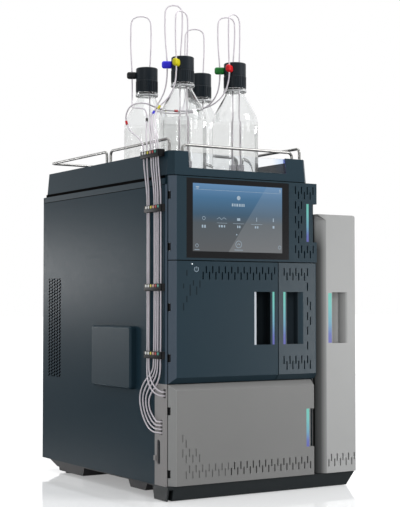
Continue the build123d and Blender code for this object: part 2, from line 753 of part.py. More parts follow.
with BuildPart() as dip_tubes:
    for x, y in dip_places:
        post(x, y, (filter_low, filter_low + filter_height), filter_radius)
        post(x, y, (filter_low + filter_height, plug_low), line_radius)
finish(dip_tubes, "dip_tubes")

# Pump bay: four piston heads on their drive blocks, a mixer and its valve
with BuildPart() as pump_heads:
    for x in (90.0, 170.0):
        block((x - 32, x + 32), (190, bay_front + bay_depth - liner), (60, 205))
        for z in (100.0, 165.0):
            bar(x, (150, 190), z, 22)
            bar(x, (142, 150), z, 15)
            post(x, 168, (z - 30, z + 30), 6)
    for x in (58 + 12, 202 - 12):
        post(x, 220, (base_top + liner, 60), 10)
finish(pump_heads, "pump_heads")

with BuildPart() as pump_mixer:
    block((260, 330), (200, bay_front + bay_depth - liner), (70, 180))
    bar(295, (150, 200), 145, 20)
    bar(295, (160, 200), 95, 12)
finish(pump_mixer, "pump_mixer")

# Sample bay: two vial plates on the floor, and the needle carriage on its rail
bay_floor = pump_top + 1 + liner
plate_left = (20.0, 140.0)
vial_pitch = 18.0
with BuildPart() as sample_plates:
    for x in plate_left:
        block((x, x + 112), (80, 210), (bay_floor, bay_floor + 22))
        with Locations(*[spot(x + 20 + vial_pitch * 1.33 * i, 100 + vial_pitch * 1.25 * j, bay_floor + 14)
                         for i in range(4) for j in range(5)]):
            Box(13, 13, 18, mode=Mode.SUBTRACT)
finish(sample_plates, "sample_plates")

with BuildPart() as sample_vials:
    vial_low = bay_floor + 5
    for x in plate_left:
        with Locations(*[spot(x + 20 + vial_pitch * 1.33 * i, 100 + vial_pitch * 1.25 * j, vial_low)
                         for i in range(4) for j in (0, 1, 3)]):
            with Locations((0, 0, 14)):
                Cylinder(5.8, 28)
            with Locations((0, 0, 31)):
                Cylinder(5.0, 6)
finish(sample_vials, "sample_vials")

needle_rail = (240.0, 420.0)
needle_x = 140.0
rail_radius = 6.0
with BuildPart() as needle_rails:
    for z in (needle_rail[1], needle_rail[1] + 36):
        with Locations(Location(spot(middle((inner_left, split_x + 1)), needle_rail[0], z), (0, 90, 0))):
            Cylinder(rail_radius, split_x + 1 - inner_left - 2 * liner)
finish(needle_rails, "needle_rails")

with BuildPart() as needle_carriage:
    block((needle_x - 25, needle_x + 25), (needle_rail[0] - 16, needle_rail[0] + 16),
          (needle_rail[1] - 16, needle_rail[1] + 52))
    for z in (needle_rail[1], needle_rail[1] + 36):
        with Locations(Location(spot(needle_x, needle_rail[0], z), (0, 90, 0))):
            Cylinder(rail_radius + pin_clearance, 60, mode=Mode.SUBTRACT)
    block((needle_x - 8, needle_x + 8), (150, needle_rail[0] - 16), (needle_rail[1] + 4, needle_rail[1] + 32))
    post(needle_x, 158, (needle_rail[1] - 60, needle_rail[1] + 4), 3)
    post(needle_x, 158, (needle_rail[1] - 110, needle_rail[1] - 60), 1.2)
finish(needle_carriage, "needle_carriage")

# Valve bay, detector bay and column compartment
with BuildPart() as injection_valve:
    block((290, 355), (180, bay_front + bay_depth - liner), (300, 420))
    bar(322, (150, 180), 370, 22)
    bar(322, (128, 150), 370, 14)
    for step in range(6):
        x = 322 + 17 * cos(radians(60 * step))
        z = 370 + 17 * sin(radians(60 * step))
        bar(x, (140, 150), z, 3.2)
finish(injection_valve, "injection_valve")

with BuildPart() as flow_cell:
    block((40, 190), (170, bay_front + bay_depth - liner), (main_top + 1 + liner, 610))
    block((210, 330), (190, bay_front + bay_depth - liner), (main_top + 1 + liner, 590))
    bar(115, (120, 170), 555, 26)
    bar(115, (104, 120), 555, 12)
    bar(270, (150, 190), 545, 18)
finish(flow_cell, "flow_cell")

column_centre = (432.0, 300.0)
clamp_levels = (200.0, 360.0)
with BuildPart() as column_clamps:
    for z in clamp_levels:
        block((column_centre[0] - 14, column_centre[0] + 14), (column_centre[1] - 14, module_depth - panel),
              (z - 10, z + 10))
        post(*column_centre, (z - 11, z + 11), 8.02, Mode.SUBTRACT)
        block((column_centre[0] - 5, column_centre[0] + 5), (column_centre[1] - 15, column_centre[1]),
              (z - 11, z + 11), Mode.SUBTRACT)
finish(column_clamps, "column_clamps")

with BuildPart() as column_tube:
    post(*column_centre, (160, 400), 8)
    for low in (136, 400):
        post(*column_centre, (low, low + 24), 11)
        post(*column_centre, (low - 14, low + 38), 4)
finish(column_tube, "column_tube")

# Rear: a fan behind its grille and the mains inlet
fan_depth = 22.0
fan_y = (body_depth - fan_depth, body_depth)
shaft_radius = 2.5
hub_radius = 16.0
with BuildPart() as fan_frame:
    block((fan_x - 46, fan_x + 46), fan_y, (fan_z - 46, fan_z + 46))
    fillet(fan_frame.edges().filter_by(Axis.Y), 5)
    bar(fan_x, (fan_y[0] - 1, fan_y[1] + 1), fan_z, fan_hole, Mode.SUBTRACT)
    block((fan_x - fan_hole - 1, fan_x + fan_hole + 1), (fan_y[0], fan_y[0] + 3), (fan_z - 3, fan_z + 3))
    block((fan_x - 3, fan_x + 3), (fan_y[0], fan_y[0] + 3), (fan_z - fan_hole - 1, fan_z + fan_hole + 1))
    bar(fan_x, (fan_y[0], fan_y[0] + 3), fan_z, hub_radius)
    bar(fan_x, (fan_y[0], fan_y[1] - 4), fan_z, shaft_radius)
finish(fan_frame, "fan_frame")

rotor_y = (fan_y[0] + 3.5, fan_y[1] - 3)
with BuildPart() as fan_rotor:
    bar(fan_x, rotor_y, fan_z, hub_radius)
    with Locations(Location(spot(fan_x, middle(rotor_y), fan_z), (90, 0, 0))):
        with PolarLocations(28, 7):
            Box(26, 1.6, 15, rotation=(38, 0, 0))
    bar(fan_x, (rotor_y[0] - 1, rotor_y[1] - 1), fan_z, shaft_radius + pin_clearance, Mode.SUBTRACT)
finish(fan_rotor, "fan_rotor")

with BuildPart() as power_inlet:
    block((inlet_x - 25, inlet_x + 25), (body_depth + rear_plate, body_depth + rear_plate + rear_flange),
          (inlet_z - 16, inlet_z + 16))
    fillet(power_inlet.edges().filter_by(Axis.Y), 5)
    block((inlet_x - 15, inlet_x + 15), (body_depth - 22, body_depth + rear_plate), (inlet_z - 11, inlet_z + 11))
    block((inlet_x - 12, inlet_x + 12), (body_depth - 12, body_depth + 10), (inlet_z - 8, inlet_z + 8),
          Mode.SUBTRACT)
    for dx, dz in ((-7, -2.5), (7, -2.5), (0, 3.5)):
        block((inlet_x + dx - 1, inlet_x + dx + 1), (body_depth - 13, body_depth - 1),
              (inlet_z + dz - 2, inlet_z + dz + 2))
finish(power_inlet, "power_inlet")


# Solvent lines: soft tubes that loop up from each cap, pass down through their tab, gather over the
# left rail, run down the side in the combs and enter the instrument through the two side inlets
line_routes = {
    "black": [
        (97, 251, 924), (99.1, 249.7, 965), (100, 249.2, 1007), (98.7, 250, 1048), (61.7, 272.5, 1048),
        (60.4, 273.3, 1008), (60.8, 273.1, 968), (62.9, 271.8, 928), (63.4, 271.5, 893), (61, 267, 860),
        (48, 246, 840), (36, 216, 831), (30, 182, 826), (30, 152, 820), (24, 134, 800), (10, 112, 774),
        (-2, 92, 750), (-4, 85, 726), (-4, 85, 698), (-4, 82.3, 672), (-4, 77.8, 640), (-4, 76, 612),
        (-4, 76, 280), (-6, 71, 258), (-9, 56, 240), (-9.5, 38, 228), (-6.5, 25, 222), (-1, 20.3, 221),
        (3.3, 20, 221)],
    "blue": [
        (90, 107, 924), (92.8, 105.6, 963), (94.5, 104.7, 1003), (93.7, 105.1, 1043), (61.7, 121.4, 1043),
        (60.7, 121.9, 1005), (61.7, 121.4, 966), (64.8, 119.8, 928), (65.4, 119.5, 893), (62, 121, 862),
        (52, 124, 838), (38, 124, 820), (22, 108, 796), (8, 82, 772), (-2, 56, 750), (-4, 48.2, 726),
        (-4, 48.2, 698), (-4, 45.1, 672), (-4, 40, 640), (-4, 38, 612), (-4, 38, 280), (-4, 43, 256),
        (-4, 58, 239), (-4, 76, 226), (-4, 90, 204), (-4, 84, 180), (-4, 66, 161), (-4, 48, 152.5),
        (-4, 37, 152.8), (-0.5, 31.5, 152.5), (3.3, 31, 152.5)],
    "yellow": [
        (102, 98, 924), (103.9, 98.8, 958), (104.8, 99.1, 993), (103.5, 98.6, 1027), (65.5, 83.5, 1027),
        (63.9, 82.9, 992), (64.3, 83, 958), (66.5, 83.9, 926), (67, 84.1, 893), (64, 86, 862),
        (54, 98, 836), (38, 110, 820), (22, 96, 796), (8, 72, 772), (-2, 47, 750), (-4, 38.7, 726),
        (-4, 38.7, 698), (-4, 35.3, 672), (-4, 29.6, 640), (-4, 27.3, 612), (-4, 27.3, 280), (-4, 31, 252),
        (-4, 46, 232), (-4, 64, 219), (-4, 77, 202), (-4, 72, 182), (-4, 57, 168), (-4, 44, 160),
        (-4, 36, 160.3), (-0.5, 31.5, 160), (3.3, 31, 160)],
    "dark_red": [
        (238, 250, 924), (239.9, 248.9, 961), (240.7, 248.5, 998), (239.5, 249.2, 1035),
        (202.9, 269.3, 1035), (201.7, 270, 998), (201.9, 269.9, 962), (203.9, 268.8, 927),
        (204.4, 268.5, 893), (198, 262, 862), (176, 240, 840), (150, 214, 832), (120, 194, 831),
        (88, 182, 829), (58, 164, 828), (30, 140, 830), (10, 146, 831), (0, 168, 826), (-1, 186, 806),
        (-1, 176, 782), (-2, 150, 764), (-4, 124, 754), (-4, 104, 738), (-4, 98.5, 722),
        (-4, 98.5, 698),
        (-4, 93.7, 672), (-4, 85.8, 640), (-4, 82.6, 612), (-4, 82.6, 280), (-6, 80, 254), (-9, 66, 232),
        (-9.5, 46, 219), (-7, 28, 214), (-1, 20.5, 213.5), (3.3, 20, 213.5)],
    "green": [
        (226, 107, 924), (228.7, 105.7, 960), (230.3, 104.9, 997), (229.4, 105.3, 1033),
        (197, 121.2, 1033), (196.1, 121.6, 997), (197.1, 121.1, 961), (199.8, 119.8, 927),
        (200.4, 119.5, 893), (197, 126, 860), (182, 144, 834), (152, 162, 824), (118, 172, 820),
        (84, 170, 820), (56, 156, 818), (40, 142, 812), (24, 124, 794), (9, 98, 771), (-2, 75, 750),
        (-4, 67.7, 726), (-4, 67.7, 698), (-4, 63.4, 672), (-4, 56.2, 640), (-4, 53.3, 612),
        (-4, 53.3, 280), (-4, 62, 260), (-4, 80, 249), (-4, 100, 234), (-4, 116, 208), (-4, 107, 174),
        (-4, 82, 146), (-4, 58, 137.5), (-4, 40, 138), (-0.5, 31.5, 137.5), (3.3, 31, 137.5)],
    "red": [
        (237, 98, 924), (238.9, 98.8, 961), (239.8, 99.1, 998), (238.5, 98.6, 1036), (200.5, 83.5, 1036),
        (198.9, 82.9, 999), (199.3, 83, 962), (201.5, 83.9, 927), (202, 84.1, 893), (196, 92, 860),
        (180, 112, 836), (154, 140, 826), (122, 156, 824), (90, 157, 823), (62, 148, 822),
        (42, 134, 818), (24, 116, 796), (9, 90, 772), (-2, 66, 750), (-4, 58.2, 726), (-4, 58.2, 698),
        (-4, 54.5, 672), (-4, 48.3, 640), (-4, 45.8, 612), (-4, 45.8, 280), (-4, 52, 258),
        (-4, 68, 244), (-4, 88, 230), (-4, 103, 206), (-4, 95, 176), (-4, 74, 153), (-4, 52, 145),
        (-4, 38.5, 145.4), (-0.5, 31.5, 145), (3.3, 31, 145)],
}


def bend_radii(route):
    """The bend at each corner of a route, as large as the two runs that meet there allow."""
    radii = []
    for before, corner, after in zip(route, route[1:], route[2:]):
        run_in = corner - before
        run_out = after - corner
        turn = radians(run_in.get_angle(run_out))
        radii.append(0.45 * min(run_in.length, run_out.length) / tan(turn / 2))
    return radii


for name, points in line_routes.items():
    route = [Vector(*spot(*point)) for point in points]
    radii = bend_radii(route)
    with BuildPart() as solvent_line:
        with BuildLine() as path:
            FilletPolyline(*route, radius=radii)
        with BuildSketch(Plane(origin=route[0], z_dir=route[1] - route[0])) as section:
            Circle(line_radius)
        sweep(section.sketch, path=path.line)
    length = sum(edge.length for edge in path.edges())
    full = section.sketch.area * length
    print(name, "length", round(length), "least bend", round(min(radii), 1), "volume share",
          round(solvent_line.part.volume / full, 4))
    finish(solvent_line, f"solvent_line_{name}")
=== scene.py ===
import bpy
import bmesh
from math import atan2, cos, pi, radians, sin
from mathutils import Matrix, Vector


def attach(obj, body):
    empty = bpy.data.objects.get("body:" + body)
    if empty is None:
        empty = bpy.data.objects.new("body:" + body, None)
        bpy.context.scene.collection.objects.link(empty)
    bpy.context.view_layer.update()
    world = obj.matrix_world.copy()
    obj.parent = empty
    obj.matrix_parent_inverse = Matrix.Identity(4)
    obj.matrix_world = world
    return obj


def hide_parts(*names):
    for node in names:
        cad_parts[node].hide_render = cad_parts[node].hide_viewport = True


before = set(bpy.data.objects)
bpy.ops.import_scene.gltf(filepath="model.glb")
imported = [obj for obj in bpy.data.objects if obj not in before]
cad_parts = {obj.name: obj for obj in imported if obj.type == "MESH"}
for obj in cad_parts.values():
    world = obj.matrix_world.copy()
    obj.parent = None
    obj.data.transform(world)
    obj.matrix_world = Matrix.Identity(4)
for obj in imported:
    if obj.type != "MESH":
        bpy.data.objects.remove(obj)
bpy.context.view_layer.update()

print("frame loaded")

# Places are in millimetres from the left side, the front face and the bench
leftSide = 235.0
frontFace = 302.0


def at(x, y, z):
    return Vector(((x - leftSide) / 1000, (y - frontFace) / 1000, z / 1000))


# Shader maths is written as expressions on values
class Value:
    def __init__(self, nodes, socket):
        self.nodes = nodes
        self.socket = socket

    def calc(self, operation, first, second):
        return self.nodes.node("ShaderNodeMath", {"operation": operation}, {0: first, 1: second})

    def __add__(self, other):
        return self.calc("ADD", self, other)

    def __radd__(self, other):
        return self.calc("ADD", other, self)

    def __sub__(self, other):
        return self.calc("SUBTRACT", self, other)

    def __rsub__(self, other):
        return self.calc("SUBTRACT", other, self)

    def __mul__(self, other):
        return self.calc("MULTIPLY", self, other)

    def __rmul__(self, other):
        return self.calc("MULTIPLY", other, self)

    def __truediv__(self, other):
        return self.calc("DIVIDE", self, other)

    def __rtruediv__(self, other):
        return self.calc("DIVIDE", other, self)

    def over(self, edge):
        return self.calc("GREATER_THAN", self, edge)

    def under(self, edge):
        return self.calc("LESS_THAN", self, edge)

    def within(self, low, high):
        return self.over(low) * self.under(high)


class Nodes:
    def __init__(self, tree):
        self.tree = tree

    def feed(self, socket, value):
        if isinstance(value, Value):
            self.tree.links.new(value.socket, socket)
        else:
            socket.default_value = value

    def node(self, kind, settings=None, inputs=None, output=0):
        made = self.tree.nodes.new(kind)
        for name, value in (settings or {}).items():
            if name == "stops":
                ramp = made.color_ramp.elements
                while len(ramp) < len(value):
                    ramp.new(0.5)
                for stop, (place, colour) in zip(ramp, value):
                    stop.position = place
                    stop.color = (*colour, 1)
            else:
                setattr(made, name, value)
        for name, value in (inputs or {}).items():
            self.feed(made.inputs[name], value)
        return Value(self, made.outputs[output])


socketNames = {"ior": "IOR", "specular": "Specular IOR Level", "transmission": "Transmission Weight"}


class Finish(Nodes):
    def __init__(self, name, **sockets):
        self.material = bpy.data.materials.new(name)
        self.material.use_nodes = True
        super().__init__(self.material.node_tree)
        self.shader = self.tree.nodes["Principled BSDF"]
        self.set(**sockets)

    def set(self, **sockets):
        for name, value in sockets.items():
            spaced = "".join(" " + letter if letter.isupper() else letter for letter in name)
            title = socketNames.get(name, spaced[0].upper() + spaced[1:])
            self.feed(self.shader.inputs[title], value)
        return self

    def place(self):
        return self.node("ShaderNodeTexCoord", output="Object")

    def part(self, axis):
        return self.node("ShaderNodeSeparateXYZ", None, {0: self.place()}, axis)

    # Millimetres from the left side, the front face and the bench
    def across(self):
        return self.part(0) * 1000 + leftSide

    def back(self):
        return self.part(1) * 1000 + frontFace

    def up(self):
        return self.part(2) * 1000

    def noise(self, scale, detail=3.0, stretch=None):
        spot = self.place()
        if stretch:
            spot = self.node("ShaderNodeMapping", None, {"Vector": spot, "Scale": stretch})
        return self.node("ShaderNodeTexNoise", None, {"Vector": spot, "Scale": scale, "Detail": detail})

    def whole(self, value):
        return self.node("ShaderNodeMath", {"operation": "ROUND"}, {0: value})

    def mix(self, share, first, second):
        return self.node("ShaderNodeMix", {"data_type": "RGBA"}, {0: share, 6: first, 7: second}, 2)

    def ramp(self, stops, share):
        return self.node("ShaderNodeValToRGB", {"stops": stops}, {0: share})

    def bump(self, height, strength, distance):
        inputs = {"Height": height, "Strength": strength, "Distance": distance}
        return self.set(normal=self.node("ShaderNodeBump", None, inputs))


def shade(colour, factor):
    return (*[min(1.0, part * factor) for part in colour], 1)


# A drifting colour under a fine grain. Painted shade and painted highlights are areas given their own
# colour, and the dark ones are matt
coat = {"drift": 6.0, "shades": (0.94, 1.06), "wear": 90.0, "spread": 0.1, "depth": 0.0002,
        "dark": 0.02, "matt": 0.6}


def paint(name, colour, roughness=0.42, grain=1400.0, relief=0.2, specular=0.2, accents=()):
    made = Finish(name, specular=specular)
    drift = made.noise(coat["drift"])
    fine = made.noise(grain, 2.0)
    plain = made.mix(drift, *[shade(colour, factor) for factor in coat["shades"]])
    rough = roughness - coat["spread"] / 2 + coat["spread"] * made.noise(coat["wear"])
    for area, paintedColour in accents:
        share = area(made)
        plain = made.mix(share, plain, (*paintedColour, 1))
        if max(paintedColour) < coat["dark"]:
            rough = rough + coat["matt"] * share
    made.set(baseColor=plain, roughness=rough)
    return made.bump(fine, relief, coat["depth"])


brush = {"scale": 60.0, "shades": (0.85, 1.1), "spread": 0.16, "relief": 0.08}


def brushedMetal(name, colour, roughness, stretch):
    made = Finish(name, metallic=1.0)
    lines = made.noise(brush["scale"], 4.0, stretch)
    made.set(baseColor=made.mix(lines, *[shade(colour, factor) for factor in brush["shades"]]),
             roughness=roughness - brush["spread"] / 2 + brush["spread"] * lines)
    return made.bump(lines, brush["relief"], coat["depth"])


# Glass with an edge colour takes it where it is seen edge on
rim = {"drift": 14.0, "start": 0.72, "full": 0.97, "relief": 0.03, "depth": 0.001}


def clear(name, colour, other, ior, roughness, transmission=1.0, edge=None):
    made = Finish(name, transmission=transmission, ior=ior, roughness=roughness)
    drift = made.noise(rim["drift"])
    tint = made.mix(drift, (*colour, 1), (*other, 1))
    if edge:
        facing = made.node("ShaderNodeLayerWeight", None, {"Blend": 0.5}, "Facing")
        share = made.ramp([(rim["start"], (0, 0, 0)), (rim["full"], (1, 1, 1))], facing)
        tint = made.mix(share, tint, (*edge, 1))
    made.set(baseColor=tint)
    return made.bump(drift, rim["relief"], rim["depth"])


# Grips moulded into the doors, whose backs lie past the reach. The pockets are darkened as painted shade,
# the column's less towards its right, and the main door's ramp takes a painted highlight
grip = {"levels": (313.5, 426.5), "start": 1.5, "rampStart": 0.2, "reach": 17.5,
        "main": (217.5, 251.5), "mainRamp": (209.3, 217.5), "side": (292.9, 327.0),
        "column": (416.6, 459.6), "columnFade": (416.0, 36.0)}


def pocket(made, span, start=grip["start"]):
    depth = made.back().within(start, grip["reach"])
    return made.across().within(*span) * made.up().within(*grip["levels"]) * depth


def mainPocketShade(made):
    return pocket(made, grip["main"])


def mainRamp(made):
    return pocket(made, grip["mainRamp"], grip["rampStart"])


def sidePocketShade(made):
    return pocket(made, grip["side"])


def columnPocketShade(made):
    start, width = grip["columnFade"]
    fade = made.ramp([(0.0, (1, 1, 1)), (1.0, (0.35, 0.35, 0.35))], (made.across() - start) / width)
    return pocket(made, grip["column"]) * fade


# The column door's left bevel lies in the shade of the cabinet, less so near its top
bevel = {"left": 377.0, "width": 25.0, "fadeLow": 520.0, "fadeHeight": 70.0}


def columnBevel(made):
    shadow = made.ramp([(0.0, (1, 1, 1)), (0.45, (0.85, 0.85, 0.85)), (1.0, (0, 0, 0))],
                       (made.across() - bevel["left"]) / bevel["width"])
    fade = made.ramp([(0.0, (1, 1, 1)), (1.0, (0.25, 0.25, 0.25))],
                     (made.up() - bevel["fadeLow"]) / bevel["fadeHeight"])
    return shadow * fade * made.back().under(grip["reach"])


# Slanted slots in staggered columns, in the sunk field at the back of the left side. The holes' walls and
# the slots are painted dark as painted shade
vent = {"field": ((500.0, 571.5), (227.0, 461.0)), "sunk": 0.4, "first": (508.0, 231.0),
        "pitch": (14.2, 7.4), "stagger": 3.0, "slant": radians(35), "slot": (6.0, 2.35)}


def ventWallShade(made):
    return made.across().over(vent["sunk"]) * made.back().over(vent["field"][0][0])


def ventSlotShade(made):
    pitchY, pitchZ = vent["pitch"]
    y = made.back() - vent["first"][0]
    column = made.whole(y / pitchY)
    odd = made.node("ShaderNodeMath", {"operation": "PINGPONG"}, {0: column, 1: 1.0})
    z = (made.up() - vent["first"][1]) / pitchZ - odd * (vent["stagger"] / pitchZ)
    offY = y - column * pitchY
    offZ = (z - made.whole(z)) * pitchZ
    along = offY * cos(vent["slant"]) - offZ * sin(vent["slant"])
    across = offY * sin(vent["slant"]) + offZ * cos(vent["slant"])
    halfLength, halfWidth = vent["slot"]
    slot = along.within(-halfLength, halfLength) * across.within(-halfWidth, halfWidth)
    return slot * made.back().within(*vent["field"][0]) * made.up().within(*vent["field"][1])


# Painted highlights on the front edges: the left side's return and the doors' left chamfers
edgeHighlights = {"panel": 16.8, "chamfer": 17.6, "front": -1.0}


def panelEdgeHighlight(made):
    return made.back().under(edgeHighlights["panel"])


def leftChamferHighlight(made):
    return (made.across() + made.back()).under(edgeHighlights["chamfer"]) * made.back().over(edgeHighlights["front"])


teal = (0.0145, 0.0325, 0.0455)
# A near-black teal for painted shade in the vent holes and the main door's grip pocket
shadowTeal = (0.0015, 0.0035, 0.005)
# A painted highlight colour for the teal front edges
chamferHighlightTeal = (0.060, 0.085, 0.115)
finishes = {
    # The side panel's teal is a slightly darker copy of the body's, as painted shade; its vent holes take
    # painted shade and its front return a painted highlight
    "sidePanel": paint("sidePanel", (0.0135, 0.031, 0.044), 0.31, specular=0.035,
                       accents=[(ventWallShade, shadowTeal), (ventSlotShade, shadowTeal), (panelEdgeHighlight, chamferHighlightTeal)]),
    "body": paint("bodyPaint", teal, 0.36, specular=0.08),
    # Painted shade in the main door's grip pocket, a painted highlight on its ramp and another on its left
    # chamfer
    "mainDoor": paint("mainDoorPlastic", teal, 0.34, 900.0, specular=0.1,
                      accents=[(mainPocketShade, shadowTeal), (mainRamp, (0.55, 0.58, 0.62)),
                               (leftChamferHighlight, chamferHighlightTeal)]),
    # Painted shade in the side door's grip pocket
    "sideDoor": paint("sideDoorPlastic", teal, 0.36, 900.0, specular=0.24,
                      accents=[(sidePocketShade, (0.004, 0.009, 0.013))]),
    # A painted highlight on the screen door's left chamfer
    "screenDoor": paint("screenDoorPlastic", teal, 0.34, 900.0, specular=0.1,
                        accents=[(leftChamferHighlight, chamferHighlightTeal)]),
    "tray": paint("trayPlastic", teal, 0.34, 900.0, specular=0.08),
    # A painted highlight on the pump door's left chamfer
    "greyDoor": paint("greyPlastic", (0.195, 0.194, 0.190), 0.40, 900.0,
                      accents=[(leftChamferHighlight, (0.29, 0.29, 0.285))]),
    "kick": paint("kickPaint", (0.28, 0.268, 0.265), 0.42),
    "module": paint("modulePaint", (0.365, 0.365, 0.36), 0.38, 900.0),
    # Painted shade on the column door's left bevel and in its grip pocket, where it fades towards the right
    "columnDoor": paint("columnDoorPlastic", (0.365, 0.365, 0.36), 0.38, 900.0,
                        accents=[(columnBevel, (0.02, 0.022, 0.022)),
                                 (columnPocketShade, (0.12, 0.12, 0.117))]),
    "plinth": paint("plinthPlastic", (0.018, 0.022, 0.024), 0.4, specular=0.15),
    "underPan": paint("underPaint", (0.055, 0.054, 0.056), 0.5),
    "rubber": paint("footRubber", (0.008, 0.008, 0.008), 0.7),
    "bay": paint("bayPlastic", (0.010, 0.014, 0.018), 0.55),
    "black": paint("clipPlastic", (0.005, 0.005, 0.006), 0.42, specular=0.12),
    "cap": paint("capPlastic", (0.009, 0.014, 0.019), 0.34, specular=0.15),
    "steel": brushedMetal("brushedSteel", (0.55, 0.55, 0.54), 0.3, (1, 1, 14)),
    "rail": brushedMetal("railSteel", (0.23, 0.228, 0.222), 0.22, (8, 8, 8)),
    "aluminium": brushedMetal("machinedAluminium", (0.62, 0.63, 0.64), 0.35, (1, 12, 1)),
    "plate": paint("platePlastic", (0.55, 0.57, 0.58), 0.4),
    "gap": paint("gapShadow", (0.0012, 0.0014, 0.0016), 0.8, specular=0.02),
    "blind": paint("blindVents", (0.006, 0.013, 0.018), 0.5, specular=0.08),
    "carriage": paint("carriagePlastic", (0.03, 0.035, 0.04), 0.45),
    "button": paint("buttonPlastic", (0.022, 0.045, 0.060), 0.3),
    "glass": clear("bottleGlass", (0.93, 0.94, 0.94), (0.95, 0.955, 0.955), 1.45, 0.02,
                   edge=(0.30, 0.32, 0.33)),
    "solvent": clear("solvent", (0.885, 0.885, 0.88), (0.905, 0.905, 0.90), 1.25, 0.0),
    "tube": clear("clearTube", (0.78, 0.725, 0.775), (0.88, 0.83, 0.875), 1.35, 0.3, 0.2),
    "pourRing": clear("pourRing", (0.86, 0.87, 0.88), (0.92, 0.93, 0.94), 1.4, 0.2, 0.6),
}

tabColours = {"black": (0.006, 0.007, 0.008), "blue": (0.035, 0.030, 0.74), "yellow": (0.62, 0.55, 0.01),
              "dark_red": (0.16, 0.008, 0.012), "green": (0.012, 0.19, 0.030),
              "red": (0.62, 0.012, 0.016)}
for name, colour in tabColours.items():
    finishes[name + "Tab"] = paint(name + "Tab", colour, 0.32)
dotColours = {"white": (0.75, 0.75, 0.72), "yellow": (0.62, 0.55, 0.05), "pink": (0.60, 0.36, 0.30),
              "red": (0.42, 0.03, 0.03), "teal": (0.05, 0.30, 0.24)}
for name, colour in dotColours.items():
    finishes[name + "Dot"] = paint(name + "Dot", colour, 0.4)

# The liquid's top face is almost unseen
liquidTop = Finish("liquidTop", transmission=1.0, ior=1.05, roughness=0.0, baseColor=(1, 1, 1, 1))
finishes["liquidTop"] = liquidTop.set(alpha=0.04 * liquidTop.noise(30.0))

# The window is tinted towards its right end
tint = {"start": 262.0, "width": 30.0, "drift": 0.02,
        "stops": [(0.0, (0.94, 0.96, 0.98)), (0.5, (0.74, 0.84, 0.97)), (0.92, (0.60, 0.72, 0.93)),
                  (1.0, (0.06, 0.10, 0.34))]}
window = Finish("windowPlastic", transmission=1.0, ior=1.4, roughness=0.0, specular=0.08)
endShare = (window.across() - tint["start"]) / tint["width"] + tint["drift"] * window.noise(8.0)
finishes["window"] = window.set(baseColor=window.ramp(tint["stops"], endShare))

# Which nodes take each finish
nodeFinish = {
    "sidePanel": ["left_side_panel"], "body": ["right_side_panel", "rear_panel", "top_cover", "side_cover"],
    "tray": ["bottle_tray"], "screenDoor": ["screen_door"], "mainDoor": ["main_door"],
    "sideDoor": ["side_door"], "greyDoor": ["pump_door"], "kick": ["lower_side_panel"],
    "module": ["column_housing"], "columnDoor": ["column_door"],
    "plinth": ["base_plinth"], "underPan": ["base_pan"], "rubber": ["feet"],
    "bay": ["pump_bay", "sample_bay", "valve_bay", "detector_bay"],
    "black": ["line_clips", "fan_frame", "fan_rotor", "power_inlet", "column_clamps", "hinge_brackets"],
    "cap": ["cap_ring_1", "cap_ring_2", "cap_ring_3", "cap_ring_4", "cap_inserts"],
    "steel": ["hinge_pins", "pump_heads", "pump_mixer", "needle_rails", "injection_valve", "column_tube"],
    "rail": ["bottle_rails"], "aluminium": ["flow_cell"], "plate": ["sample_plates"],
    "carriage": ["needle_carriage"], "glass": ["sample_vials"], "window": ["tray_window"],
    "tube": ["dip_tubes"], "button": ["power_button"],
}


def dress(node, finish):
    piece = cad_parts[node]
    if not piece.material_slots:
        piece.data.materials.append(finish.material)
    for slot in piece.material_slots:
        slot.material = finish.material


for name, nodes in nodeFinish.items():
    for node in nodes:
        dress(node, finishes[name])

# Light bars run from violet at the foot to green at the top
lightBar = {"strength": 0.85, "unlit": (0.01, 0.02, 0.03, 1), "drift": 0.02,
            "stops": [(0.0, (0.09, 0.08, 0.40)), (0.18, (0.09, 0.12, 0.42)), (0.4, (0.12, 0.34, 0.47)),
                      (0.75, (0.14, 0.52, 0.48)), (1.0, (0.13, 0.55, 0.44))],
            "levels": {"screen_light_bar": (535.4, 617.8), "main_light_bar": (314.0, 426.0),
                       "side_light_bar": (314.0, 426.0), "pump_light_bar": (92.0, 173.7),
                       "column_light_bar": (315.0, 424.0)}}
for node, (low, high) in lightBar["levels"].items():
    glowing = Finish("glow_" + node, roughness=0.3, specular=0.2, emissionStrength=lightBar["strength"])
    height = (glowing.up() - low) / (high - low) + lightBar["drift"] * glowing.noise(50.0)
    glowing.set(baseColor=lightBar["unlit"], emissionColor=glowing.ramp(lightBar["stops"], height))
    dress(node, glowing)

# Display: a black surround and a lit picture with a diagonal sheen
screen = {"across": (56.4, 282.0), "up": (509.0, 649.5), "sheenFoot": 144.4, "sheenTop": 241.7,
          "sheenShare": 0.10, "sheenLoss": 0.05, "sheenColour": (0.75, 0.78, 0.80, 1),
          "surround": (0.002, 0.002, 0.002, 1),
          "blacks": ((0.005, 0.005, 0.006, 1), (0.007, 0.007, 0.008, 1)),
          "stops": [(0.0, (0.095, 0.10, 0.105)), (0.42, (0.075, 0.092, 0.105)),
                    (0.55, (0.045, 0.095, 0.15)), (0.8, (0.055, 0.15, 0.27)), (1.0, (0.115, 0.24, 0.42))]}
display = Finish("displayGlass", roughness=0.12, ior=1.5, specular=0.12, emissionStrength=1.0)
x = display.across()
z = display.up()
lit = x.within(*screen["across"]) * z.within(*screen["up"])
rise = (z - screen["up"][0]) / (screen["up"][1] - screen["up"][0])
sheenLine = screen["sheenFoot"] + (screen["sheenTop"] - screen["sheenFoot"]) * rise
sheen = (x - sheenLine).over(0.0) * (screen["sheenShare"] - screen["sheenLoss"] * rise)
picture = display.mix(sheen, display.ramp(screen["stops"], rise), screen["sheenColour"])
display.set(baseColor=display.mix(display.noise(30.0), *screen["blacks"]),
            emissionColor=display.mix(lit, screen["surround"], picture))
dress("display_glass", display)
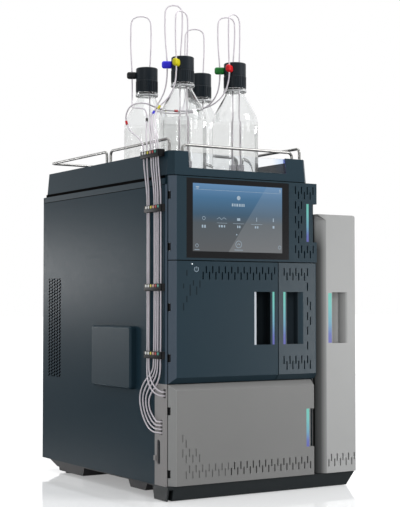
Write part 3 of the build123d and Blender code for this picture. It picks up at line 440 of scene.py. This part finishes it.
print("finishes")


def addPiece(name, data, finish, body, nodes=()):
    data.materials.append(finishes[finish].material)
    piece = bpy.data.objects.new(name, data)
    bpy.context.scene.collection.objects.link(piece)
    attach(piece, body)
    if nodes:
        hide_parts(*nodes)
    return piece


def addMesh(name, shape, finish, body, nodes=()):
    bmesh.ops.recalc_face_normals(shape, faces=shape.faces)
    mesh = bpy.data.meshes.new(name)
    shape.to_mesh(mesh)
    shape.free()
    mesh.shade_smooth()
    mesh.set_sharp_from_angle(angle=radians(32))
    return addPiece(name, mesh, finish, body, nodes)


def addBlock(shape, low, high, rounding=0.0, segments=3, turned=0.0, pivot=None, axis="Z"):
    verts = bmesh.ops.create_cube(shape, size=1.0)["verts"]
    bmesh.ops.scale(shape, vec=at(*high) - at(*low), verts=verts)
    bmesh.ops.translate(shape, vec=(at(*low) + at(*high)) / 2, verts=verts)
    if turned:
        bmesh.ops.rotate(shape, cent=pivot, matrix=Matrix.Rotation(turned, 3, axis), verts=verts)
    if rounding:
        edges = list({edge for vert in verts for edge in vert.link_edges})
        bmesh.ops.bevel(shape, geom=edges, offset=rounding / 1000, offset_type="OFFSET", affect="EDGES",
                        segments=segments, profile=0.5, material=-1, clamp_overlap=True)


# The outline's own direction and the one that it turns about
sweepAxes = {"x": (Vector((0, 1, 0)), Vector((1, 0, 0))), "y": (Vector((1, 0, 0)), Vector((0, 1, 0))),
             "z": (Vector((1, 0, 0)), Vector((0, 0, 1)))}


def addTurned(shape, outline, centre, axis="z", steps=32, angle=2 * pi, start=0.0):
    radial, along = sweepAxes[axis]
    radial = Matrix.Rotation(start, 3, along) @ radial
    verts = [shape.verts.new(centre + (radial * r + along * level) / 1000) for r, level in outline]
    edges = [shape.edges.new((verts[i - 1], verts[i])) for i in range(len(verts))]
    whole = abs(angle - 2 * pi) < 0.001
    bmesh.ops.spin(shape, geom=verts + edges, cent=centre, axis=along, dvec=(0, 0, 0), angle=angle,
                   steps=steps, use_merge=whole, use_normal_flip=False, use_duplicate=False)


# Rounds each corner that has a reach
def softened(points, count=5):
    made = []
    for before, (r, z, reach), after in zip(points[-1:] + points[:-1], points, points[1:] + points[:1]):
        corner = Vector((r, z))
        if not reach:
            made.append(corner)
            continue
        first = corner + (Vector(before[:2]) - corner).normalized() * reach
        last = corner + (Vector(after[:2]) - corner).normalized() * reach
        for step in range(count + 1):
            share = step / count
            made.append(first * (1 - share) ** 2 + corner * 2 * share * (1 - share) + last * share ** 2)
    return made


# Bottles of clear glass, nearly full of a clear liquid that overlaps the wall a little
bottleSpots = ((92.0, 255.0), (94.0, 103.0), (233.0, 252.0), (229.0, 103.0))
bottle = {"seat": 672.0, "radius": 50.5, "wall": 2.5, "base": 4.0, "shoulder": 808.0, "neck": 862.0,
          "neckRadius": 20.0, "collarRadius": 25.0, "collar": (865.0, 865.5, 874.0), "mouth": 902.0,
          "steps": 72}
liquid = {"edge": 796.0, "level": 799.5, "overlap": 0.15, "sunk": 0.1, "meniscus": 0.9}
pourRing = {"radii": (20.3, 25.6), "levels": (866.6, 869.4)}
innerRadius = bottle["radius"] - bottle["wall"]
innerNeck = bottle["neckRadius"] - bottle["wall"]
collarFoot, collarLow, collarTop = bottle["collar"]
glassOutline = softened([
    (0, bottle["seat"], 0), (bottle["radius"], bottle["seat"], 5),
    (bottle["radius"], bottle["shoulder"], 14), (bottle["neckRadius"], bottle["neck"], 8),
    (bottle["neckRadius"], collarFoot, 0), (bottle["collarRadius"], collarLow, 1),
    (bottle["collarRadius"], collarTop, 1.5), (bottle["neckRadius"], collarTop, 0),
    (bottle["neckRadius"], bottle["mouth"], 0), (innerNeck, bottle["mouth"], 0),
    (innerNeck, bottle["neck"], 8), (innerRadius, bottle["shoulder"] - 1, 13),
    (innerRadius, bottle["seat"] + bottle["base"], 4), (0, bottle["seat"] + bottle["base"], 0)])
liquidFoot = bottle["seat"] + bottle["base"] - liquid["sunk"]
liquidRadius = innerRadius + liquid["overlap"]
liquidOutline = softened([
    (0, liquidFoot, 0), (liquidRadius, liquidFoot, 4), (liquidRadius, liquid["edge"], 0),
    (liquidRadius - liquid["meniscus"], liquid["level"], 0), (0, liquid["level"], 0)])
ringOutline = [(pourRing["radii"][i], pourRing["levels"][j]) for i, j in ((0, 0), (1, 0), (1, 1), (0, 1))]
for name, outline, finish, slot, nodes in (
        ("bottleGlass", glassOutline, "glass", "bottle_glass", ("bottles",)),
        ("bottleLiquid", liquidOutline, "solvent", "solvent", ("solvents",)),
        ("pourRings", ringOutline, "pourRing", "bottle_glass", ())):
    shape = bmesh.new()
    for spotX, spotY in bottleSpots:
        addTurned(shape, outline, at(spotX, spotY, 0), "z", bottle["steps"])
    bmesh.ops.remove_doubles(shape, verts=shape.verts, dist=0.00001)
    for face in shape.faces:
        onTop = face.calc_center_median().z * 1000 > liquid["edge"] + 1
        face.material_index = 1 if name == "bottleLiquid" and onTop else 0
    piece = addMesh(name, shape, finish, "chassis", nodes)
    if name == "bottleLiquid":
        piece.data.materials.append(finishes["liquidTop"].material)
print("bottles")

# Coloured tabs on the caps, which the solvent lines pass through
tab = {"inner": 22.0, "reach": 45.0, "half": 5.5, "low": 906.0, "high": 922.0, "rounding": 5.0}
tabPlaces = {"black": (0, 150), "blue": (1, 150), "yellow": (1, 215), "dark_red": (2, 150),
             "green": (3, 150), "red": (3, 215)}  # bottle and angle
for name, (bottleIndex, angle) in tabPlaces.items():
    spotX, spotY = bottleSpots[bottleIndex]
    shape = bmesh.new()
    addBlock(shape, (spotX + tab["inner"], spotY - tab["half"], tab["low"]),
             (spotX + tab["reach"], spotY + tab["half"], tab["high"]), tab["rounding"], 5, radians(angle),
             at(spotX, spotY, 0))
    addMesh("lineTab_" + name, shape, name + "Tab", "chassis", ("line_tabs",))

# Covers on the line clips with a row of coloured dots
clip = {"out": (-9.6, -6.0), "levels": (288.0, 427.0, 589.5), "span": (17.0, 88.0), "height": 15.0,
        "trayLow": 704.0, "traySpan": (29.0, 104.0), "rounding": 1.0}
dot = {"radius": 3.2, "edge": 0.4, "proud": 0.5, "sunk": 0.2, "drop": 4.2,
       "shares": {"tealDot": [0.17], "redDot": [0.31], "pinkDot": [0.45], "yellowDot": [0.59],
                  "whiteDot": [0.73, 0.87]}}
clipRows = [(low, clip["span"]) for low in clip["levels"]] + [(clip["trayLow"], clip["traySpan"])]
shape = bmesh.new()
for low, span in clipRows:
    addBlock(shape, (clip["out"][0], span[0], low), (clip["out"][1], span[1], low + clip["height"]),
             clip["rounding"])
addMesh("clipCovers", shape, "black", "chassis")
dotOutline = [(0, -dot["proud"]), (dot["radius"] - dot["edge"], -dot["proud"]), (dot["radius"], 0),
              (0, dot["sunk"])]
for finish, shares in dot["shares"].items():
    shape = bmesh.new()
    for low, span in clipRows:
        for share in shares:
            y = span[0] + (span[1] - span[0]) * share
            z = low + clip["height"] - dot["drop"]
            addTurned(shape, dotOutline, at(clip["out"][0], y, z), "x", 16)
    bmesh.ops.remove_doubles(shape, verts=shape.verts, dist=0.00001)
    addMesh("clip_" + finish, shape, finish, "chassis")

# Painted shadow: dark strips in the gap under the tray and along the joint at the top of the left side
seamShadowStrips = [((2.0, 28, 658.6), (6.4, 590, 664.6)), ((-0.12, 17, 644.2), (0.3, 597, 645.6))]
shape = bmesh.new()
for low, high in seamShadowStrips:
    addBlock(shape, low, high)
addMesh("seamShadows", shape, "gap", "chassis")
print("tabs and clips")

# Pale symbols on the display and round the power button
symbol = Finish("symbolLight", roughness=0.4, specular=0.2)
symbol.set(baseColor=symbol.mix(symbol.noise(60.0), (0.14, 0.18, 0.22, 1), (0.18, 0.22, 0.26, 1)),
           emissionColor=(0.40, 0.52, 0.62, 1), emissionStrength=0.4)
finishes["symbol"] = symbol
symbols = {
    "layer": (0.13, 0.23), "stroke": 0.8,
    # Middle across, middle up, width and height
    "bars": [
        (67.6, 641.8, 8, 2.4), (67.6, 638.6, 5, 1.2), (169.2, 636.8, 219, 0.5),
        (276.7, 642.1, 2.2, 7), (154.5, 607.8, 4, 6), (160.3, 607.8, 3.2, 6),
        (166.2, 607.8, 4.4, 6), (172.6, 607.8, 4, 6), (178.4, 607.8, 3.2, 6), (183.2, 607.8, 3, 6),
        (169.7, 577.6, 8, 5.5), (215.6, 578.9, 1.4, 8.5), (258.9, 579.3, 2.4, 7.5),
        (127.5, 568.8, 25.7, 0.6), (169.5, 568.8, 28.2, 0.6), (215.6, 568.8, 30, 0.6),
        (80.0, 560.7, 3.6, 6), (86.0, 560.7, 3.6, 6), (121.5, 562.2, 3.2, 4.6),
        (127.6, 562.2, 4.6, 4.6), (134.0, 562.2, 3.2, 4.6), (167.4, 562.2, 3, 5),
        (172.4, 562.2, 3.4, 5), (212.6, 562.6, 3.4, 4.4), (218.2, 562.6, 3.4, 4.4),
        (259.3, 564.3, 4.6, 5.5), (169.6, 513.4, 21, 1.0), (66.4, 512.1, 12, 1.0),
    ],
    # Middle across, middle up, radius and width
    "rings": [
        (83.1, 577.7, 3.9, 0.9), (169.6, 525.3, 7.7, 0.9), (66.4, 520.7, 3.8, 0.8),
        (275.4, 521.1, 3.8, 0.8), (169.7, 622.9, 4.6, 4.6), (164.6, 545.5, 1.5, 1.5),
    ],
    "strokes": [
        ((115.5, 576.5), (121.0, 580.5)), ((121.0, 580.5), (127.0, 576.0)),
        ((127.0, 576.0), (132.5, 580.5)), ((132.5, 580.5), (138.7, 577.0)),
        ((166.3, 523.6), (169.6, 527.2)), ((169.6, 527.2), (172.9, 523.6)),
    ],
}


def addStroke(shape, first, last, width, layer):
    run = Vector(last) - Vector(first)
    middle = (Vector(first) + Vector(last)) / 2
    low = (middle.x - run.length / 2, layer[0], middle.y - width / 2)
    high = (middle.x + run.length / 2, layer[1], middle.y + width / 2)
    pivot = at(middle.x, layer[0], middle.y)
    addBlock(shape, low, high, turned=-atan2(run.y, run.x), pivot=pivot, axis="Y")


def addRing(shape, x, z, radius, width, layer, steps=28, angle=2 * pi, start=0.0):
    depth = layer[1] - layer[0]
    outline = [(radius - width, 0), (radius, 0), (radius, depth), (radius - width, depth)]
    addTurned(shape, outline, at(x, layer[0], z), "y", steps, angle, start)


# Rows of blind slots at the main door's top left
blindVents = {"start": 81.3, "pitch": 7.86, "base": 414.4, "width": 2.6, "layer": (-0.04, 0.2),
              "marks": ((1, 19.6, 34.6), (2, 4.6, 21.6), (3, 23.6, 34.6), (4, 2.6, 25.6), (5, -10.4, 2.6),
                        (5, 43.6, 55.6), (6, 17.6, 27.6), (6, -27.4, -12.4))}
shape = bmesh.new()
for step, low, high in blindVents["marks"]:
    x = blindVents["start"] - blindVents["pitch"] * step
    addBlock(shape, (x - blindVents["width"] / 2, blindVents["layer"][0], blindVents["base"] + low),
             (x + blindVents["width"] / 2, blindVents["layer"][1], blindVents["base"] + high))
addMesh("blindVents", shape, "blind", "main_door")

shape = bmesh.new()
for x, z, width, height in symbols["bars"]:
    addBlock(shape, (x - width / 2, symbols["layer"][0], z - height / 2),
             (x + width / 2, symbols["layer"][1], z + height / 2))
for x, z, radius, width in symbols["rings"]:
    addRing(shape, x, z, radius, width, symbols["layer"])
for first, last in symbols["strokes"]:
    addStroke(shape, first, last, symbols["stroke"], symbols["layer"])
bmesh.ops.remove_doubles(shape, verts=shape.verts, dist=0.000001)
addMesh("displaySymbols", shape, "symbol", "screen_door")

# The power button's open ring and upright, and the lamp beside it
button = {"spot": (65.2, 471.8), "radius": 5.6, "width": 0.9, "layer": (0.18, 0.35), "ring": radians(300),
          "ringStart": radians(-60), "upright": (1.5, 5.6), "lamp": (55.0, 482.4),
          "lampOutline": [(0, -0.2), (1.2, -0.2), (1.4, 0.2), (0, 0.2)]}
x, z = button["spot"]
shape = bmesh.new()
addRing(shape, x, z, button["radius"], button["width"], button["layer"], angle=button["ring"],
        start=button["ringStart"])
addBlock(shape, (x - button["width"] / 2, button["layer"][0], z + button["upright"][0]),
         (x + button["width"] / 2, button["layer"][1], z + button["upright"][1]))
addMesh("powerSymbol", shape, "symbol", "power_button")
lamp = Finish("lampLight", roughness=0.4, emissionStrength=1.0)
lamp.set(emissionColor=lamp.mix(lamp.noise(60.0), (0.8, 0.85, 0.9, 1), (0.9, 0.95, 1.0, 1)))
finishes["lamp"] = lamp
shape = bmesh.new()
addTurned(shape, button["lampOutline"], at(button["lamp"][0], 0, button["lamp"][1]), "y", 16)
bmesh.ops.remove_doubles(shape, verts=shape.verts, dist=0.000001)
addMesh("powerLamp", shape, "lamp", "main_door")
print("symbols")

# Solvent lines: over each cap in a loop, across the tray, down through the clips and into the side
lineRoutes = {
    "black": [
        (97, 251, 924), (99.1, 249.7, 965), (100, 249.2, 1007), (98.7, 250, 1048), (61.7, 272.5, 1048),
        (60.4, 273.3, 1008), (60.8, 273.1, 968), (62.9, 271.8, 928), (63.4, 271.5, 893), (61, 267, 860),
        (48, 246, 840), (36, 216, 831), (30, 182, 826), (30, 152, 820), (24, 134, 800), (10, 112, 774),
        (-2, 92, 750), (-4, 85, 726), (-4, 85, 698), (-4, 82.3, 672), (-4, 77.8, 640), (-4, 76, 612),
        (-4, 76, 280), (-6, 71, 258), (-9, 56, 240), (-9.5, 38, 228), (-6.5, 25, 222), (-1, 20.3, 221),
        (3.3, 20, 221)],
    "blue": [
        (90, 107, 924), (92.8, 105.6, 963), (94.5, 104.7, 1003), (93.7, 105.1, 1043), (61.7, 121.4, 1043),
        (60.7, 121.9, 1005), (61.7, 121.4, 966), (64.8, 119.8, 928), (65.4, 119.5, 893), (62, 121, 862),
        (52, 124, 838), (38, 124, 820), (22, 108, 796), (8, 82, 772), (-2, 56, 750), (-4, 48.2, 726),
        (-4, 48.2, 698), (-4, 45.1, 672), (-4, 40, 640), (-4, 38, 612), (-4, 38, 280), (-4, 43, 256),
        (-4, 58, 239), (-4, 76, 226), (-4, 90, 204), (-4, 84, 180), (-4, 66, 161), (-4, 48, 152.5),
        (-4, 37, 152.8), (-0.5, 31.5, 152.5), (3.3, 31, 152.5)],
    "yellow": [
        (102, 98, 924), (103.9, 98.8, 958), (104.8, 99.1, 993), (103.5, 98.6, 1027), (65.5, 83.5, 1027),
        (63.9, 82.9, 992), (64.3, 83, 958), (66.5, 83.9, 926), (67, 84.1, 893), (64, 86, 862),
        (54, 98, 836), (38, 110, 820), (22, 96, 796), (8, 72, 772), (-2, 47, 750), (-4, 38.7, 726),
        (-4, 38.7, 698), (-4, 35.3, 672), (-4, 29.6, 640), (-4, 27.3, 612), (-4, 27.3, 280), (-4, 31, 252),
        (-4, 46, 232), (-4, 64, 219), (-4, 77, 202), (-4, 72, 182), (-4, 57, 168), (-4, 44, 160),
        (-4, 36, 160.3), (-0.5, 31.5, 160), (3.3, 31, 160)],
    "dark_red": [
        (238, 250, 924), (239.9, 248.9, 961), (240.7, 248.5, 998), (239.5, 249.2, 1035),
        (202.9, 269.3, 1035), (201.7, 270, 998), (201.9, 269.9, 962), (203.9, 268.8, 927),
        (204.4, 268.5, 893), (198, 262, 862), (176, 240, 840), (150, 214, 832), (120, 194, 831),
        (88, 182, 829), (58, 164, 828), (30, 140, 830), (10, 146, 831), (0, 168, 826), (-1, 186, 806),
        (-1, 176, 782), (-2, 150, 764), (-4, 124, 754), (-4, 104, 738), (-4, 98.5, 722),
        (-4, 98.5, 698),
        (-4, 93.7, 672), (-4, 85.8, 640), (-4, 82.6, 612), (-4, 82.6, 280), (-6, 80, 254), (-9, 66, 232),
        (-9.5, 46, 219), (-7, 28, 214), (-1, 20.5, 213.5), (3.3, 20, 213.5)],
    "green": [
        (226, 107, 924), (228.7, 105.7, 960), (230.3, 104.9, 997), (229.4, 105.3, 1033),
        (197, 121.2, 1033), (196.1, 121.6, 997), (197.1, 121.1, 961), (199.8, 119.8, 927),
        (200.4, 119.5, 893), (197, 126, 860), (182, 144, 834), (152, 162, 824), (118, 172, 820),
        (84, 170, 820), (56, 156, 818), (40, 142, 812), (24, 124, 794), (9, 98, 771), (-2, 75, 750),
        (-4, 67.7, 726), (-4, 67.7, 698), (-4, 63.4, 672), (-4, 56.2, 640), (-4, 53.3, 612),
        (-4, 53.3, 280), (-4, 62, 260), (-4, 80, 249), (-4, 100, 234), (-4, 116, 208), (-4, 107, 174),
        (-4, 82, 146), (-4, 58, 137.5), (-4, 40, 138), (-0.5, 31.5, 137.5), (3.3, 31, 137.5)],
    "red": [
        (237, 98, 924), (238.9, 98.8, 961), (239.8, 99.1, 998), (238.5, 98.6, 1036), (200.5, 83.5, 1036),
        (198.9, 82.9, 999), (199.3, 83, 962), (201.5, 83.9, 927), (202, 84.1, 893), (196, 92, 860),
        (180, 112, 836), (154, 140, 826), (122, 156, 824), (90, 157, 823), (62, 148, 822),
        (42, 134, 818), (24, 116, 796), (9, 90, 772), (-2, 66, 750), (-4, 58.2, 726), (-4, 58.2, 698),
        (-4, 54.5, 672), (-4, 48.3, 640), (-4, 45.8, 612), (-4, 45.8, 280), (-4, 52, 258),
        (-4, 68, 244), (-4, 88, 230), (-4, 103, 206), (-4, 95, 176), (-4, 74, 153), (-4, 52, 145),
        (-4, 38.5, 145.4), (-0.5, 31.5, 145), (3.3, 31, 145)],
}
line = {"radius": 1.6, "diameter": 0.0032}
markers = {"radius": 2.7, "half": 4.5, "spots": {
    "black": ((20, 128, 794), "blackTab"), "blue": ((30, 116, 808), "blueTab"),
    "yellow": ((36, 108, 817), "yellowTab"), "dark_red": ((-1, 180, 791), "redTab"),
    "green": ((167, 153, 829), "greenTab"), "red": ((110, 156, 824), "redTab")}}


def lineCurve(name, points, radius):
    curve = bpy.data.curves.new(name, "CURVE")
    curve.dimensions = "3D"
    curve.bevel_depth = radius / 1000
    curve.bevel_resolution = 3
    curve.resolution_u = 8
    spline = curve.splines.new("NURBS")
    spline.points.add(len(points) - 1)
    for point, spot in zip(spline.points, points):
        point.co = (*at(*spot), 1)
    spline.order_u = 3
    spline.use_endpoint_u = True
    return curve


# The points that the curve runs through
def runOf(points):
    bare = bpy.data.objects.new("bareLine", lineCurve("bareLine", points, 0))
    mesh = bpy.data.meshes.new_from_object(bare)
    run = [vert.co.copy() for vert in mesh.vertices]
    bpy.data.objects.remove(bare)
    bpy.data.meshes.remove(mesh)
    return run


# A coloured sleeve round the line, at the point nearest the middle that is asked for
def addSleeve(name, run, middle, finish):
    nearest = min(range(1, len(run) - 1), key=lambda i: (run[i] - at(*middle)).length)
    along = (run[nearest + 1] - run[nearest - 1]).normalized()
    shape = bmesh.new()
    half = markers["half"]
    inner, outer = line["radius"], markers["radius"]
    outline = [(inner, -half), (outer, -half), (outer, half), (inner, half)]
    addTurned(shape, outline, Vector((0, 0, 0)), "z", 16)
    turn = Vector((0, 0, 1)).rotation_difference(along).to_matrix()
    bmesh.ops.rotate(shape, cent=(0, 0, 0), matrix=turn, verts=shape.verts)
    bmesh.ops.translate(shape, vec=run[nearest], verts=shape.verts)
    return addMesh(name, shape, finish, "chassis")


for name, points in lineRoutes.items():
    middle, finish = markers["spots"][name]
    sleeve = addSleeve("lineSleeve_" + name, runOf(points), middle, finish)
    curve = lineCurve("line_" + name, points, line["radius"])
    piece = addPiece("solventLine_" + name, curve, "tube", "chassis",
                     ("solvent_line_" + name,))
    at(*points[0])
print("solvent lines")

# The camera sees a pale floor that keeps the shadow, and every other ray a grey one
studio = {"floorSize": 60.0, "floorGreys": ((0.38, 0.38, 0.38, 1), (0.42, 0.42, 0.42, 1)),
          "floorSeen": (0.9, 0.9, 0.9, 1), "floorGlow": (0.3, 0.3, 0.3, 1), "unlit": (0, 0, 0, 1),
          "ambient": (0.93, 0.97, 1, 1), "ambientStrength": 0.5, "backdrop": (1, 1, 1, 1)}
lights = {
    "key": {"place": (1.7, -2.2, 2.4), "aim": (0.1, -0.2, 0.35), "size": (1.2, 1.2), "power": 50},
    "rearLeft": {"place": (-1.5, 3.0, 0.54), "aim": (-0.235, 0.2, 0.47), "size": (0.9, 0.22), "power": 11},
    "low": {"place": (2.25, -2.6, 0.25), "aim": (0.1, -0.3, 0.3), "size": (0.6, 0.8), "power": 26},
    "edge": {"place": (-2.2, -1.45, 0.45), "aim": (-0.23, -0.3, 0.4), "size": (0.12, 1.3), "power": 12},
    "top": {"place": (0, 0, 2.8), "aim": (0, 0, 0), "size": (2.2, 2.2), "power": 34},
}
view = {"place": (-1.53181, -2.49171, 0.40222), "turned": (92.26, 0, -32.04), "lens": 89.1, "sensor": 36}

shape = bmesh.new()
bmesh.ops.create_grid(shape, x_segments=1, y_segments=1, size=studio["floorSize"] / 2)
floorMesh = bpy.data.meshes.new("floor")
shape.to_mesh(floorMesh)
shape.free()
floor = bpy.data.objects.new("floor", floorMesh)
bpy.context.scene.collection.objects.link(floor)
floorFinish = Finish("floorFinish", roughness=0.05, ior=2.0, emissionStrength=1.0)
seen = floorFinish.node("ShaderNodeLightPath", output="Is Camera Ray")
grey = floorFinish.mix(floorFinish.noise(2.0), *studio["floorGreys"])
floorFinish.set(baseColor=floorFinish.mix(seen, grey, studio["floorSeen"]),
                emissionColor=floorFinish.mix(seen, studio["unlit"], studio["floorGlow"]))
floorMesh.materials.append(floorFinish.material)

# White behind the object, in its gloss and through its glass, and a soft light everywhere else
world = bpy.data.worlds.new("studio")
world.use_nodes = True
bpy.context.scene.world = world
sky = Nodes(world.node_tree)
direct = sky.node("ShaderNodeLightPath", output="Is Camera Ray")
for kind in ("Is Glossy Ray", "Is Transmission Ray"):
    extra = sky.node("ShaderNodeLightPath", output=kind)
    direct = sky.node("ShaderNodeMath", {"operation": "MAXIMUM"}, {0: direct, 1: extra})
ambient = sky.node("ShaderNodeBackground", None,
                   {"Color": studio["ambient"], "Strength": studio["ambientStrength"]})
backdrop = sky.node("ShaderNodeBackground", None, {"Color": studio["backdrop"]})
blend = sky.node("ShaderNodeMixShader", None, {0: direct, 1: ambient, 2: backdrop})
sky.feed(sky.tree.nodes["World Output"].inputs["Surface"], blend)

for name, settings in lights.items():
    light = bpy.data.lights.new(name + "Light", "AREA")
    light.shape = "RECTANGLE"
    light.size, light.size_y = settings["size"]
    light.energy = settings["power"]
    placed = bpy.data.objects.new(name + "Light", light)
    placed.location = settings["place"]
    aim = Vector(settings["aim"]) - Vector(settings["place"])
    placed.rotation_euler = aim.to_track_quat("-Z", "Y").to_euler()
    bpy.context.scene.collection.objects.link(placed)

camera = bpy.data.cameras.new("camera")
camera.lens = view["lens"]
camera.sensor_width = view["sensor"]
cameraObject = bpy.data.objects.new("camera", camera)
cameraObject.location = view["place"]
cameraObject.rotation_euler = [radians(angle) for angle in view["turned"]]
bpy.context.scene.collection.objects.link(cameraObject)
bpy.context.scene.camera = cameraObject
bpy.context.scene.view_settings.view_transform = "Standard"
print("studio")
